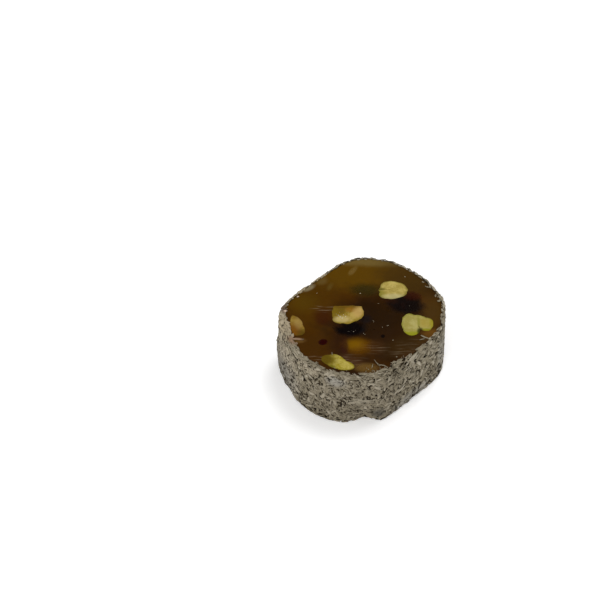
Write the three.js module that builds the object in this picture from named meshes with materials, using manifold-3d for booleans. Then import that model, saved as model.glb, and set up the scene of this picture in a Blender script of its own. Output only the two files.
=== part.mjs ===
// Turkish delight: one slice of a roll of lokum, lying flat on its lower cut face.
// A disc of set jelly holds pistachio kernels, cut through where the knife met them,
// and a sticky coat of coconut shreds runs round its side.
// Millimetres, +Z up, the slice rests on Z = 0, and its box is centred on the origin.

import * as THREE from 'three';
import { mergeVertices } from 'three/addons/utils/BufferGeometryUtils.js';
import Module from 'manifold-3d';

const wasm = await Module();
wasm.setup();

const { degToRad, radToDeg, lerp, smoothstep, euclideanModulo } = THREE.MathUtils;

// ---- Driving dimensions -------------------------------------------------------------

const SLICE_HEIGHT = 19;
const ROLL_RADIUS = 23.3;
const ROLL_AXIS = [0.29, -0.69]; // where the roll's axis stands, so that the box is centred
const GAP = 0.3; // clearance between pieces that touch
const FINEST = 0.03; // slivers finer than this are smoothed away

// Directions are in degrees round the roll's axis, from +X towards +Y.
// Flats are where the soft roll was pressed: how far each lies from the axis, low and high.
const FLATS = [
  { direction: 136, base: 19.2, top: 19.2 },
  { direction: 317, base: 19.7, top: 21.5 },
  { direction: 206, base: 21.5, top: 21.3 },
];
const FLAT_SHARPNESS = 16; // how tightly the round turns into a flat
const FLAT_REACH = 0.3; // cosine beyond which a flat has no say
const OFF_AXIS = [-0.65, 0.6]; // where the outline's own middle lies from the axis

// Swells stand out of the round, each over a spread of directions.
const SWELLS = [
  { direction: 18, out: 0.7, spread: 11.5 },
  { direction: 76, out: 0.6, spread: 25 },
  { direction: 197, out: 0.75, spread: 22 },
  { direction: 221, out: 0.75, spread: 14 },
];
const FRONT_NOTCH = { direction: 271.3, depth: 2.45, spread: 8.5, fade: 7 };
const FRONT_TUCK = { direction: 261, depth: 0.4, spread: 15 };
const SHOULDER_TUCK = { direction: 178, depth: 0.5, spread: 16, from: 8.5, to: 12 };
const BARREL = 0.15; // how far the side bulges at mid height, least towards +X
const BARREL_LEAN = 0.9;
const FOOT_TUCK = 0.1; // how far the foot draws in all round

// The coat's thickness on the cut face: thin at the back, and thicker in three places.
const COAT_THICKNESS = 0.75;
const COAT_DRIFTS = [
  { direction: 187, out: 1.5, spread: 14 },
  { direction: 207, out: 0.5, spread: 7 },
  { direction: 296, out: 0.9, spread: 10 },
];
const COAT_EDGE = 0.5; // radius of the coat's rounded edge at the top
const COAT_FOOT = 0.3; // the coat ends this far above what the slice lies on
const SHRED_RELIEF = 0.3; // the coat's bed lies this far inside its outermost shreds

const AROUND = 64; // facets round the slice
const SIDE_STEPS = 3; // and up its side

// Coconut shreds, from the shortest to the longest.
const SIDE_SHREDS = 225;
const RIM_SHREDS = 56;
const SHRED_LENGTH = [2.0, 3.5];
const SHRED_WIDTH = [0.6, 0.95];
const SHRED_DEPTH = 0.6;
const SHRED_TAPER = 0.35; // how much one end is narrower, and the other wider, than the middle
const SHRED_PROUD = 0.1; // how far its middle stands out of the bed
const SHRED_TILT = 9; // degrees by which one end may lift
const SHRED_SEED = 8;
const SIDE_REACH = [0.9, SLICE_HEIGHT - 1.1]; // heights between which the side has shreds
const RIM_RISE = [30, 80]; // how far round the edge the rim's shreds lie, in degrees
const RIM_HEADING = 25; // degrees by which they may turn away from level

// Pistachio kernels: each is two halves face to face and, where they have grown together,
// the flesh between them, given by where the knife met them. A part has its centre from the
// roll's axis, its length and width, the heading of its length in degrees, and how much it
// narrows towards that heading. A kernel reaches `depth` into the jelly, and leans sideways
// by `lean` for each millimetre of that. One was broken off straight at the back, at `broken`.
const KERNELS = {
  pistachio_back_right: {
    depth: 6.2,
    lean: [0.28, -0.42],
    parts: [
      { centre: [8.6, 12.0], size: [7.4, 4.5], heading: -8, narrows: 0.12 },
      { centre: [8.5, 9.7], size: [7.8, 4.7], heading: 6, narrows: 0.12 },
      { centre: [8.5, 10.8], size: [8.4, 4.2], heading: 0, narrows: 0.05 },
    ],
  },
  pistachio_centre_left: {
    depth: 7.4,
    lean: [-0.05, -0.35],
    broken: 4.4,
    parts: [
      { centre: [-5.9, 1.9], size: [8.6, 5.0], heading: 90, narrows: 0 },
      { centre: [-2.4, 2.4], size: [8.0, 5.4], heading: 90, narrows: 0 },
      { centre: [-4.3, 1.4], size: [6.6, 7.8], heading: 0, narrows: 0 },
      { centre: [-6.4, -0.2], size: [4.2, 3.4], heading: 60, narrows: 0 },
    ],
  },
  pistachio_right: {
    depth: 6.0,
    lean: [0.1, -0.3],
    parts: [
      { centre: [13.3, -2.8], size: [8.7, 5.3], heading: 99, narrows: 0.05 },
      { centre: [17.3, -2.8], size: [5.2, 4.7], heading: 74, narrows: 0 },
      { centre: [14.9, -1.8], size: [6.6, 5.4], heading: -10, narrows: 0 },
    ],
  },
  pistachio_left_edge: {
    depth: 3.6,
    lean: [0.15, -0.3],
    parts: [
      { centre: [-18.2, -2.2], size: [6.4, 3.5], heading: 108, narrows: 0.35 },
      { centre: [-17.5, -4.9], size: [4.8, 3.8], heading: 90, narrows: 0 },
      { centre: [-17.8, -3.6], size: [7.0, 3.7], heading: 100, narrows: 0.2 },
    ],
  },
  pistachio_front: {
    depth: 4.4,
    lean: [-0.1, 0.3],
    parts: [
      { centre: [-9.0, -16.5], size: [4.6, 3.4], heading: 150, narrows: 0 },
      { centre: [-4.9, -18.6], size: [5.4, 3.6], heading: -14, narrows: 0.2 },
      { centre: [-7.0, -17.2], size: [6.4, 5.0], heading: -38, narrows: 0.1 },
    ],
  },
};

// The lower cut face shows kernels too, of the same sizes, in places of its own.
const UNDER_KERNELS = {
  pistachio_under_back: {
    depth: 5.0,
    lean: [0.1, -0.2],
    parts: [
      { centre: [-5.8, 11.8], size: [7.9, 4.5], heading: 24, narrows: 0.2 },
      { centre: [-4.6, 9.5], size: [8.2, 4.6], heading: 32, narrows: 0.2 },
    ],
  },
  pistachio_under_right: {
    depth: 5.4,
    lean: [-0.3, 0.1],
    parts: [
      { centre: [10.4, 2.4], size: [7.6, 5.0], heading: 70, narrows: 0.1 },
      { centre: [13.4, 1.2], size: [6.6, 4.6], heading: 62, narrows: 0.2 },
    ],
  },
  pistachio_under_front: {
    depth: 4.8,
    lean: [0.1, 0.35],
    parts: [
      { centre: [3.4, -10.6], size: [8.4, 4.4], heading: -18, narrows: 0.25 },
      { centre: [4.0, -13.0], size: [7.4, 4.2], heading: -30, narrows: 0.15 },
    ],
  },
  pistachio_under_left: {
    depth: 4.2,
    lean: [0.3, 0.1],
    parts: [
      { centre: [-13.4, -4.8], size: [7.4, 4.6], heading: 118, narrows: 0.2 },
      { centre: [-11.2, -6.0], size: [6.4, 4.0], heading: 112, narrows: 0.1 },
    ],
  },
};
const KERNEL_MIDDLE = 0.25; // share of a kernel's depth at which it is widest
const KERNEL_PROUD = 0.15; // how far a kernel stands out of the upper cut face
const KERNEL_SHY = 0.1; // how far one stops short of the lower cut face

// ---- Materials ----------------------------------------------------------------------

const jellyAmber = new THREE.MeshStandardMaterial({ color: '#5a3a0a', roughness: 0.25, metalness: 0 });
const kernelGreen = new THREE.MeshStandardMaterial({ color: '#b3a45c', roughness: 0.6, metalness: 0 });
const coconutTan = new THREE.MeshStandardMaterial({ color: '#988e78', roughness: 0.85, metalness: 0 });

// ---- Solids from three.js shapes ----------------------------------------------------

function solidFrom(geometry) {
  geometry.deleteAttribute('normal');
  geometry.deleteAttribute('uv');
  const shared = mergeVertices(geometry, 1e-5);
  return new wasm.Manifold(
    new wasm.Mesh({
      numProp: 3,
      vertProperties: new Float32Array(shared.attributes.position.array),
      triVerts: new Uint32Array(shared.index.array),
    }),
  );
}

// The largest closed body of a solid: crumbs that broke loose and sealed pores are left out.
function largestBody(solid) {
  return solid.decompose().reduce((a, b) => (b.volume() > a.volume() ? b : a));
}

function meshFrom(solid, name, material) {
  const plain = solid.asOriginal().simplify(FINEST);
  const { vertProperties, triVerts } = largestBody(plain).getMesh();
  const geometry = new THREE.BufferGeometry();
  geometry.setAttribute('position', new THREE.BufferAttribute(vertProperties, 3));
  geometry.setIndex(new THREE.BufferAttribute(triVerts, 1));
  geometry.computeVertexNormals();
  const mesh = new THREE.Mesh(geometry, material);
  mesh.name = name;
  return mesh;
}

// Moves every vertex of a geometry to the place that `move` works out for it.
function displace(geometry, move) {
  const position = geometry.attributes.position;
  const point = new THREE.Vector3();
  for (let i = 0; i < position.count; i++) {
    move(point.fromBufferAttribute(position, i));
    position.setXYZ(i, point.x, point.y, point.z);
  }
  return geometry;
}

// ---- The roll's outline -------------------------------------------------------------

// 1 in the given direction, falling away on both sides of it.
function bump(angle, { direction, spread }) {
  const away = euclideanModulo(angle - direction + 180, 360) - 180;
  return Math.exp(-((away / spread) ** 2));
}

// How far the outermost shreds lie from the roll's axis.
function wallRadius(angle, z) {
  const level = z / SLICE_HEIGHT;
  let inverse = ROLL_RADIUS ** -FLAT_SHARPNESS;
  for (const flat of FLATS) {
    const facing = Math.cos(degToRad(angle - flat.direction));
    if (facing > FLAT_REACH) inverse += (lerp(flat.base, flat.top, level) / facing) ** -FLAT_SHARPNESS;
  }
  let radius = inverse ** (-1 / FLAT_SHARPNESS);
  radius += OFF_AXIS[0] * Math.cos(degToRad(angle)) + OFF_AXIS[1] * Math.sin(degToRad(angle));
  for (const swell of SWELLS) radius += swell.out * bump(angle, swell);

  const belowMiddle = Math.max(0, 1 - 2 * level);
  radius += BARREL * (1 - (2 * level - 1) ** 2) * (1 - BARREL_LEAN * Math.cos(degToRad(angle)));
  radius -= FRONT_NOTCH.depth * bump(angle, FRONT_NOTCH) * Math.exp(-((z / FRONT_NOTCH.fade) ** 2));
  radius -= (FOOT_TUCK + FRONT_TUCK.depth * bump(angle, FRONT_TUCK)) * belowMiddle;
  const { depth, from, to } = SHOULDER_TUCK;
  radius -= depth * bump(angle, SHOULDER_TUCK) * smoothstep(z, from, to);
  return radius;
}

function coatThickness(angle) {
  return COAT_DRIFTS.reduce((sum, drift) => sum + drift.out * bump(angle, drift), COAT_THICKNESS);
}

// A round body whose side keeps `offset` outside the wall. Its profile runs from foot to
// top, each point as how far it lies inside the side and its height.
function roundBody(profile, offset) {
  const points = profile.map(([inset, z]) => new THREE.Vector2(ROLL_RADIUS - inset, z));
  points.unshift(new THREE.Vector2(0, points[0].y));
  points.push(new THREE.Vector2(0, points.at(-1).y));
  const geometry = new THREE.LatheGeometry(points, AROUND).rotateX(Math.PI / 2);
  return solidFrom(
    displace(geometry, (point) => {
      const radius = Math.hypot(point.x, point.y);
      if (radius < 1) return;
      const angle = radToDeg(Math.atan2(point.y, point.x));
      const moved = radius + wallRadius(angle, point.z) - ROLL_RADIUS + offset(angle);
      point.setX((point.x * moved) / radius).setY((point.y * moved) / radius);
    }),
  );
}

// The side's points from `low` to `high`, in equal steps.
function sideProfile(low, high) {
  return Array.from({ length: SIDE_STEPS + 1 }, (_, i) => [0, lerp(low, high, i / SIDE_STEPS)]);
}

// ---- Pistachio kernels --------------------------------------------------------------

// Part of a kernel as a rounded body under the plane Z = 0, grown by `grow` all round.
function kernelPart({ centre, size, heading, narrows }, { depth, lean, broken = Infinity }, grow) {
  const middle = KERNEL_MIDDLE * depth;
  const reach = depth - middle;
  const widening = 1 / Math.sqrt(1 - (middle / reach) ** 2);
  const turn = degToRad(heading);
  return solidFrom(
    displace(new THREE.SphereGeometry(1, 12, 8).rotateX(Math.PI / 2), (point) => {
      const along = point.x * ((size[0] / 2) * widening + grow);
      const across = point.y * ((size[1] / 2) * widening + grow) * (1 - narrows * point.x);
      const below = middle - point.z * (reach + grow);
      const right = centre[0] + along * Math.cos(turn) - across * Math.sin(turn);
      const back = centre[1] + along * Math.sin(turn) + across * Math.cos(turn);
      point.set(right + lean[0] * below, Math.min(back, broken + grow) + lean[1] * below, -below);
    }),
  );
}

// A whole kernel, before the knife: its halves meet in a groove.
function kernelSolid(kernel, grow) {
  return wasm.Manifold.union(kernel.parts.map((part) => kernelPart(part, kernel, grow)));
}

// The same kernel in its place in the slice, under the upper face or over the lower one.
function inUpperFace(solid) {
  return solid.translate([0, 0, SLICE_HEIGHT]);
}

function inLowerFace(solid) {
  return solid.mirror([0, 0, 1]);
}

function kernelMesh(name, kernel, place, cut) {
  return meshFrom(cut(place(kernelSolid(kernel, 0))), name, kernelGreen);
}

// ---- Jelly --------------------------------------------------------------------------

function jellySolid() {
  const disc = roundBody(sideProfile(0, SLICE_HEIGHT), (angle) => -coatThickness(angle) - GAP);
  const pockets = [
    ...Object.values(KERNELS).map((kernel) => inUpperFace(kernelSolid(kernel, GAP))),
    ...Object.values(UNDER_KERNELS).map((kernel) => inLowerFace(kernelSolid(kernel, GAP))),
  ];
  return disc.subtract(wasm.Manifold.union(pockets));
}

// ---- Coconut coat -------------------------------------------------------------------

// Numbers from 0 to 1 that look random and are the same on every run.
function seededDraws(seed) {
  let state = seed;
  return () => {
    state = (state + 0x6d2b79f5) | 0;
    let mixed = Math.imul(state ^ (state >>> 15), 1 | state);
    mixed = (mixed + Math.imul(mixed ^ (mixed >>> 7), 61 | mixed)) ^ mixed;
    return ((mixed ^ (mixed >>> 14)) >>> 0) / 4294967296;
  };
}

// A shred: a flat strip that narrows from one end to the other and is cut off at a slant.
function shredGeometry(length, width, slant) {
  return displace(new THREE.BoxGeometry(length, width, SHRED_DEPTH), (point) => {
    point.y *= 1 + (SHRED_TAPER * 2 * point.x) / length;
    point.x += slant * point.y;
  });
}

// Lays a shred on the coat. `rise` is 0 on the side and 90 on top of the rounded edge, and
// `freedom` is how far it may turn away from level.
function laidShred({ angle, z, rise, size, freedom, draw }) {
  const length = lerp(...SHRED_LENGTH, size);
  const width = lerp(...SHRED_WIDTH, (size + draw()) / 2);
  const geometry = shredGeometry(length, width, lerp(-1, 1, draw()));
  geometry.rotateY(degToRad(lerp(-SHRED_TILT, SHRED_TILT, draw())));

  const turn = degToRad(angle);
  const lift = degToRad(rise);
  const around = new THREE.Vector3(-Math.sin(turn), Math.cos(turn), 0);
  const level = new THREE.Vector3(Math.cos(turn), Math.sin(turn), 0);
  const out = level.clone().multiplyScalar(Math.cos(lift)).setZ(Math.sin(lift));
  const upward = new THREE.Vector3().crossVectors(out, around);
  const heading = degToRad(lerp(-freedom, freedom, draw()));
  const along = around.clone().multiplyScalar(Math.cos(heading)).addScaledVector(upward, Math.sin(heading));
  const across = new THREE.Vector3().crossVectors(out, along);

  const edge = COAT_EDGE * (1 - Math.cos(lift));
  const radius = wallRadius(angle, z) - SHRED_RELIEF - edge;
  const centre = level.multiplyScalar(radius).setZ(z).addScaledVector(out, SHRED_PROUD);
  const place = new THREE.Matrix4().makeBasis(along, across, out).setPosition(centre);
  return solidFrom(geometry.applyMatrix4(place));
}

// Steps round the slice that never line up, so that what follows them lies evenly.
function goldenTurn(step) {
  return (360 * step * 0.6180339887) % 360;
}

// The side's shreds climb it in one even spiral, and more lie round the rim.
function allShreds() {
  const draw = seededDraws(SHRED_SEED);
  const shreds = [];
  for (let i = 0; i < SIDE_SHREDS; i++) {
    const z = lerp(...SIDE_REACH, (i + 0.5) / SIDE_SHREDS);
    shreds.push(laidShred({ angle: goldenTurn(i), z, rise: 0, size: draw(), freedom: 90, draw }));
  }
  for (let i = 0; i < RIM_SHREDS; i++) {
    const rise = lerp(...RIM_RISE, draw());
    const z = SLICE_HEIGHT - COAT_EDGE * (1 - Math.sin(degToRad(rise)));
    shreds.push(laidShred({ angle: goldenTurn(i), z, rise, size: draw(), freedom: RIM_HEADING, draw }));
  }
  return shreds;
}

// The ring of sticky coconut: a bed with a rounded edge, its shreds, and the jelly's room.
function coatSolid() {
  const profile = sideProfile(COAT_FOOT, SLICE_HEIGHT - COAT_EDGE);
  for (const rise of [45, 90]) {
    const lift = degToRad(rise);
    profile.push([COAT_EDGE * (1 - Math.cos(lift)), SLICE_HEIGHT - COAT_EDGE * (1 - Math.sin(lift))]);
  }
  const bed = roundBody(profile, () => -SHRED_RELIEF);
  const room = roundBody(sideProfile(0, SLICE_HEIGHT + GAP), (angle) => -coatThickness(angle));
  return wasm.Manifold.union([bed, ...allShreds()])
    .subtract(room)
    .trimByPlane([0, 0, 1], COAT_FOOT);
}

// ---- The slice ----------------------------------------------------------------------

const roll = new THREE.Group();
roll.position.set(...ROLL_AXIS, 0);
roll.add(meshFrom(jellySolid(), 'jelly', jellyAmber));
roll.add(meshFrom(coatSolid(), 'coconut_coat', coconutTan));

for (const [name, kernel] of Object.entries(KERNELS)) {
  const cut = (solid) => solid.trimByPlane([0, 0, -1], -SLICE_HEIGHT - KERNEL_PROUD);
  roll.add(kernelMesh(name, kernel, inUpperFace, cut));
}
for (const [name, kernel] of Object.entries(UNDER_KERNELS)) {
  const cut = (solid) => solid.trimByPlane([0, 0, 1], KERNEL_SHY);
  roll.add(kernelMesh(name, kernel, inLowerFace, cut));
}

const slice = new THREE.Group();
slice.add(roll);
export default slice;
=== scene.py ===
# %% [markdown]
# # A slice of Turkish delight
#
# This notebook dresses one slice of rolled lokum: a disc of amber jelly that lies on its lower
# cut face, with cut pistachios in it and a sticky coat of coconut shreds round its side.
#
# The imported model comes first. It is the fixed frame: every piece below keeps the size and
# place that it has there.

import math

import bpy
import numpy as np
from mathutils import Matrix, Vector


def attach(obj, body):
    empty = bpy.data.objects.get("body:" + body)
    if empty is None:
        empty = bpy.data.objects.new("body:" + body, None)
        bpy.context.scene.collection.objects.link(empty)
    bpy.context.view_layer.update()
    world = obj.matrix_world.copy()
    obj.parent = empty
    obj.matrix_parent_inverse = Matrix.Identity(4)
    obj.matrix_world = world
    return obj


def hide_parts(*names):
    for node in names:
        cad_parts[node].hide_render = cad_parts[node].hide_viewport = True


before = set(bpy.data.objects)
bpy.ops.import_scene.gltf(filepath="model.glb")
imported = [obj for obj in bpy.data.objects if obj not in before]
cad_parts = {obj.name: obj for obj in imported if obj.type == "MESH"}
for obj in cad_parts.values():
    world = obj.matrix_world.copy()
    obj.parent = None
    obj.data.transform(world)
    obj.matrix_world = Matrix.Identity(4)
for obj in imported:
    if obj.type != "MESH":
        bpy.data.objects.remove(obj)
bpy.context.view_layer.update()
print("nodes:", sorted(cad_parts))

# %% [markdown]
# ## The outline of the roll
#
# The roll was soft, so it isn't a true circle: it has flats where it was pressed, swells
# between them, and a notch at the front of its foot. One formula gives the radius in any
# direction and at any height, in millimetres. The jelly, the coat and the shreds all follow
# it, so they fit each other.

# %% Sizes of the slice and its outline
MM = 0.001
SLICE_HEIGHT = 19.0
ROLL_RADIUS = 23.3
ROLL_AXIS = (0.29, -0.69)
OFF_AXIS = (-0.65, 0.6)  # where the outline's own middle lies from the axis

# (direction in degrees, distance from the axis at the base, and at the top)
FLATS = ((136, 19.2, 19.2), (317, 19.7, 21.5), (206, 21.5, 21.3))
FLAT_SHARPNESS = 16  # how tightly the round turns into a flat
FLAT_REACH = 0.3  # the cosine beyond which a flat has no say
# (direction, how far out, how wide in degrees)
SWELLS = ((18, 0.7, 11.5), (76, 0.6, 25), (197, 0.75, 22), (221, 0.75, 14))
# these go inwards: a notch that fades upwards, a tuck at the foot, a shoulder set back high up
NOTCH, NOTCH_FADE = (271.3, 2.45, 8.5), 7.0
TUCK = (261, 0.4, 15)
SHOULDER, SHOULDER_LOW, SHOULDER_HIGH = (178, 0.5, 16), 8.5, 12
BARREL, BARREL_LEAN, FOOT_TUCK = 0.15, 0.9, 0.1

COAT_THICKNESS = 0.75
COAT_DRIFTS = ((187, 1.5, 14), (207, 0.5, 7), (296, 0.9, 10))  # like SWELLS
COAT_EDGE = 0.5


def swell(angle, direction, out, spread):
    away = (angle - direction + 180) % 360 - 180
    return out * np.exp(-((away / spread) ** 2))


def smooth_step(value, low, high):
    share = np.clip((value - low) / (high - low), 0, 1)
    return share * share * (3 - 2 * share)


def wall_radius(angle, z):
    """How far the outermost shreds lie from the roll's axis, in mm."""
    level = np.clip(z / SLICE_HEIGHT, 0, 1)
    inverse = ROLL_RADIUS**-FLAT_SHARPNESS
    for direction, low, high in FLATS:
        facing = np.cos(np.radians(angle - direction))
        distance = (low + (high - low) * level) / np.maximum(facing, FLAT_REACH)
        inverse = inverse + np.where(facing > FLAT_REACH, distance**-FLAT_SHARPNESS, 0)
    radius = inverse ** (-1 / FLAT_SHARPNESS)
    turned = np.radians(angle)
    radius = radius + OFF_AXIS[0] * np.cos(turned) + OFF_AXIS[1] * np.sin(turned)
    for facts in SWELLS:
        radius = radius + swell(angle, *facts)

    below_middle = np.maximum(0, 1 - 2 * level)
    lean = 1 - BARREL_LEAN * np.cos(turned)
    radius += BARREL * (1 - (2 * level - 1) ** 2) * lean
    radius -= swell(angle, *NOTCH) * np.exp(-((z / NOTCH_FADE) ** 2))
    radius -= (FOOT_TUCK + swell(angle, *TUCK)) * below_middle
    return radius - swell(angle, *SHOULDER) * smooth_step(z, SHOULDER_LOW, SHOULDER_HIGH)


def coat_thickness(angle):
    return COAT_THICKNESS + sum(swell(angle, *facts) for facts in COAT_DRIFTS)


front = wall_radius(np.array([270.0]), np.array([0.0, SLICE_HEIGHT]))
print(f"front radius: {front[0]:.1f} mm at the foot, {front[1]:.1f} mm at the top")

# %% [markdown]
# ## Helpers for modelling
#
# Each piece is modelled in millimetres round the roll's axis, and is shrunk to metres and put
# in its place when it is finished. It starts as a primitive and is shaped in edit mode or by a
# formula, so two helpers read all its points as one array and write them back. Smooth waves
# stand in for the unevenness of anything soft: sums of sines with seeded directions, so every
# run gives the same surface.

# %% Helpers for modelling
def pick(*pieces):
    """Selects just these, and makes the first one active."""
    bpy.ops.object.select_all(action="DESELECT")
    for piece in pieces:
        piece.select_set(True)
    bpy.context.view_layer.objects.active = pieces[0] if pieces else None


def add(primitive, **settings):
    """Adds a primitive, light or camera, with nothing else selected."""
    pick()
    primitive(**settings)
    return bpy.context.active_object


def go_to(mode):
    bpy.ops.object.mode_set(mode=mode)


def points_of(piece, kind="co"):
    """The piece's points, or their normals, as rows of x, y, z."""
    flat = np.empty(3 * len(piece.data.vertices), np.float32)
    piece.data.vertices.foreach_get(kind, flat)
    return flat.reshape(-1, 3).astype(float)


def put_points(piece, points):
    piece.data.vertices.foreach_set("co", points.astype(np.float32).ravel())
    piece.data.update()


def keep_on_points(piece, name, values):
    """Stores one number per point, which a material can read by its name."""
    attribute = piece.data.attributes.new(name, "FLOAT", "POINT")
    attribute.data.foreach_set("value", np.asarray(values, np.float32))


def polar(points):
    """The direction of each point from the roll's axis, in degrees, and how far out it lies."""
    return np.degrees(np.arctan2(points[:, 1], points[:, 0])), np.hypot(points[:, 0], points[:, 1])


def from_polar(angle, radius, z):
    turned = np.radians(angle)
    return np.stack([radius * np.cos(turned), radius * np.sin(turned), z], 1)


def swung(x, y, degrees):
    """x and y after a turn by so many degrees to the left."""
    cosine, sine = math.cos(math.radians(degrees)), math.sin(math.radians(degrees))
    return x * cosine - y * sine, y * cosine + x * sine


def waves(points, size, seed, count=9):
    """Smooth unevenness between about -1 and 1, whose lumps are `size` mm across."""
    draw = np.random.default_rng(seed)
    total = np.zeros(len(points))
    for _ in range(count):
        direction = draw.normal(size=3)
        direction *= math.pi / (size * np.linalg.norm(direction)) * draw.uniform(0.6, 1.5)
        total += np.sin(points @ direction + draw.uniform(0, 2 * math.pi))
    return total / math.sqrt(count)


def lumpy(points, seed, *lumps):
    """Waves of several kinds on top of each other: each has a height and a size in mm."""
    return sum(high * waves(points, size, seed + step) for step, (high, size) in enumerate(lumps))


def select_edges(piece, wanted):
    """Goes into edit mode with just those edges selected whose two points are `wanted`."""
    pick(piece)
    go_to("EDIT")
    bpy.context.tool_settings.mesh_select_mode = (False, True, False)
    bpy.ops.mesh.select_all(action="DESELECT")
    go_to("OBJECT")
    points = piece.data.vertices
    for edge in piece.data.edges:
        edge.select = wanted(*[points[corner].co for corner in edge.vertices])
    go_to("EDIT")


def apply_modifier(piece, kind, **settings):
    pick(piece)
    modifier = piece.modifiers.new(kind.title(), kind)
    for key, value in settings.items():
        setattr(modifier, key, value)
    bpy.ops.object.modifier_apply(modifier=modifier.name)


def finish_piece(piece, name, material, replaced):
    """Shrinks a piece to metres in its place, dresses it, and hides the imported parts it replaces.
    """
    piece.name = piece.data.name = name
    piece.data.materials.append(material)
    pick(piece)
    piece.scale = (MM, MM, MM)
    piece.location = Vector((*ROLL_AXIS, 0)) * MM
    bpy.ops.object.transform_apply(location=True, rotation=True, scale=True)
    bpy.ops.object.shade_smooth()
    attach(piece, "root")
    if replaced:
        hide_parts(*replaced)
    triangles = sum(len(face.vertices) - 2 for face in piece.data.polygons)
    print(f"{name}: {triangles} triangles")


print("modelling helpers ready")

# %% [markdown]
# ## Helpers for materials
#
# A material here is a little sum over the surface: so much amber, so much brown where the
# jelly is deep, a dark patch where a nut's skin shows. `Value` lets that sum be written as
# Python: every operator adds the Math node that does it. `Paint` holds one material and adds
# every other kind of node. Patterns read Object coordinates, in mm.

# %% Helpers for materials
RAG_SIZE = 1.8


def srgb(red, green, blue):
    """A colour as a screen gives it, 0 to 255, turned into Blender's linear one."""
    def linear(level):
        share = level / 255
        return share / 12.92 if share <= 0.04045 else ((share + 0.055) / 1.055) ** 2.4

    return (linear(red), linear(green), linear(blue), 1.0)


def maths(operation, backwards=False):
    """An operator that adds a Math node, with its two values swapped if asked."""
    def operator(value, other):
        values = {0: other, 1: value} if backwards else {0: value, 1: other}
        return value.paint.node("Math", {"operation": operation}, values)

    return operator


class Value:
    """A number or colour that changes over the surface."""

    def __init__(self, paint, socket):
        self.paint, self.socket = paint, socket

    __add__ = __radd__ = maths("ADD")
    __mul__ = __rmul__ = maths("MULTIPLY")
    __sub__, __rsub__ = maths("SUBTRACT"), maths("SUBTRACT", backwards=True)


class Paint:
    """One material, its Principled shader, and the nodes that feed it."""

    def __init__(self, name, **constants):
        self.material = bpy.data.materials.new(name)
        self.material.use_nodes = True
        self.tree = self.material.node_tree
        self.shader = self.tree.nodes["Principled BSDF"]
        for socket, value in constants.items():
            self.shader.inputs[socket.replace("_", " ")].default_value = value
        coordinates = self.node("TexCoord", {}, {}, "Object")
        to_axis = (-ROLL_AXIS[0], -ROLL_AXIS[1], 0)
        in_mm = {0: coordinates, 1: to_axis, 3: (1 / MM,) * 3}
        self.place = self.node("Mapping", {}, in_mm)

    def node(self, kind, settings, values, output=0):
        made = self.tree.nodes.new("ShaderNode" + kind)
        for key, value in settings.items():
            setattr(made, key, value)
        for key, value in values.items():
            if isinstance(value, Value):
                self.tree.links.new(value.socket, made.inputs[key])
            else:
                made.inputs[key].default_value = value
        return Value(self, made.outputs[output])

    def feed(self, socket, value):
        self.tree.links.new(value.socket, self.shader.inputs[socket])

    def length(self, vector):
        return self.node("VectorMath", {"operation": "LENGTH"}, {0: vector}, "Value")

    def mix(self, first, second, factor):
        settings = {"data_type": "RGBA"}
        return self.node("Mix", settings, {0: factor, 6: first, 7: second}, 2)

    def ease(self, value, low, high):
        """0 up to `low`, 1 from `high` on, and a soft rise between."""
        settings = {"interpolation_type": "SMOOTHSTEP"}
        values = {"Value": value, "From Min": low, "From Max": high}
        return self.node("MapRange", settings, values)

    def noise(self, size, detail=3.0, stretch=(1, 1, 1), shift=(0, 0, 0)):
        """Cloudy noise from 0 to 1 whose lumps are `size` mm across."""
        moved = self.node("Mapping", {}, {0: self.place, 1: shift, 3: stretch})
        values = {"Vector": moved, "Scale": 1 / size, "Detail": detail}
        return self.node("TexNoise", {}, values)

    def mottled(self, first, second, size, low, high):
        """The first colour with clouds of the second one in it, `size` mm across."""
        return self.mix(first, second, self.ease(self.noise(size), low, high))

    def spot(self, place, radii, heading=0, softness=0.5, ragged=0.0):
        """1 in an egg-shaped place, fading to 0 round it, with an edge as ragged as asked."""
        inputs = {0: self.place, 1: place, 2: (0, 0, math.radians(heading)), 3: radii}
        moved = self.node("Mapping", {"vector_type": "TEXTURE"}, inputs)
        far = self.length(moved)
        if ragged:
            far = far + (self.noise(RAG_SIZE, shift=place) - 0.5) * ragged
        return 1 - self.ease(far, 1 - softness, 1 + softness)

    def stored(self, name):
        """A number kept on the piece's own points."""
        return self.node("Attribute", {"attribute_name": name}, {}, "Fac")

    def bump(self, height, strength, distance):
        values = {"Height": height, "Strength": strength, "Distance": distance * MM}
        self.feed("Normal", self.node("Bump", {}, values))


print("material helpers ready")

# %% [markdown]
# ## The camera
#
# A long lens looks down on the slice at 45 degrees. The camera is turned so that the slice's
# centre lands at its own spot, right of and below the middle of a picture of 600 by 600.

# %% Place the camera
PICTURE = 600
SLICE_SPOT = (362.4, 341.8)
LENS, SENSOR = 135, 36
CAMERA_DISTANCE = 0.625
CAMERA_ELEVATION = math.radians(45)

focal_pixels = PICTURE * LENS / SENSOR
centre = Vector((*ROLL_AXIS, SLICE_HEIGHT / 2)) * MM
towards = Vector((0, math.cos(CAMERA_ELEVATION), -math.sin(CAMERA_ELEVATION)))
off_x = (SLICE_SPOT[0] - PICTURE / 2) / focal_pixels
off_y = -(SLICE_SPOT[1] - PICTURE / 2) / focal_pixels
turn = Vector((off_x, off_y, -1)).rotation_difference(Vector((0, 0, -1)))

camera = add(bpy.ops.object.camera_add, location=centre - CAMERA_DISTANCE * towards)
camera.data.lens, camera.data.sensor_width = LENS, SENSOR
camera.rotation_mode = "QUATERNION"
camera.rotation_quaternion = towards.to_track_quat("-Z", "Y") @ turn
bpy.context.scene.camera = camera
print("camera", [round(x, 3) for x in camera.location])

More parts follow.
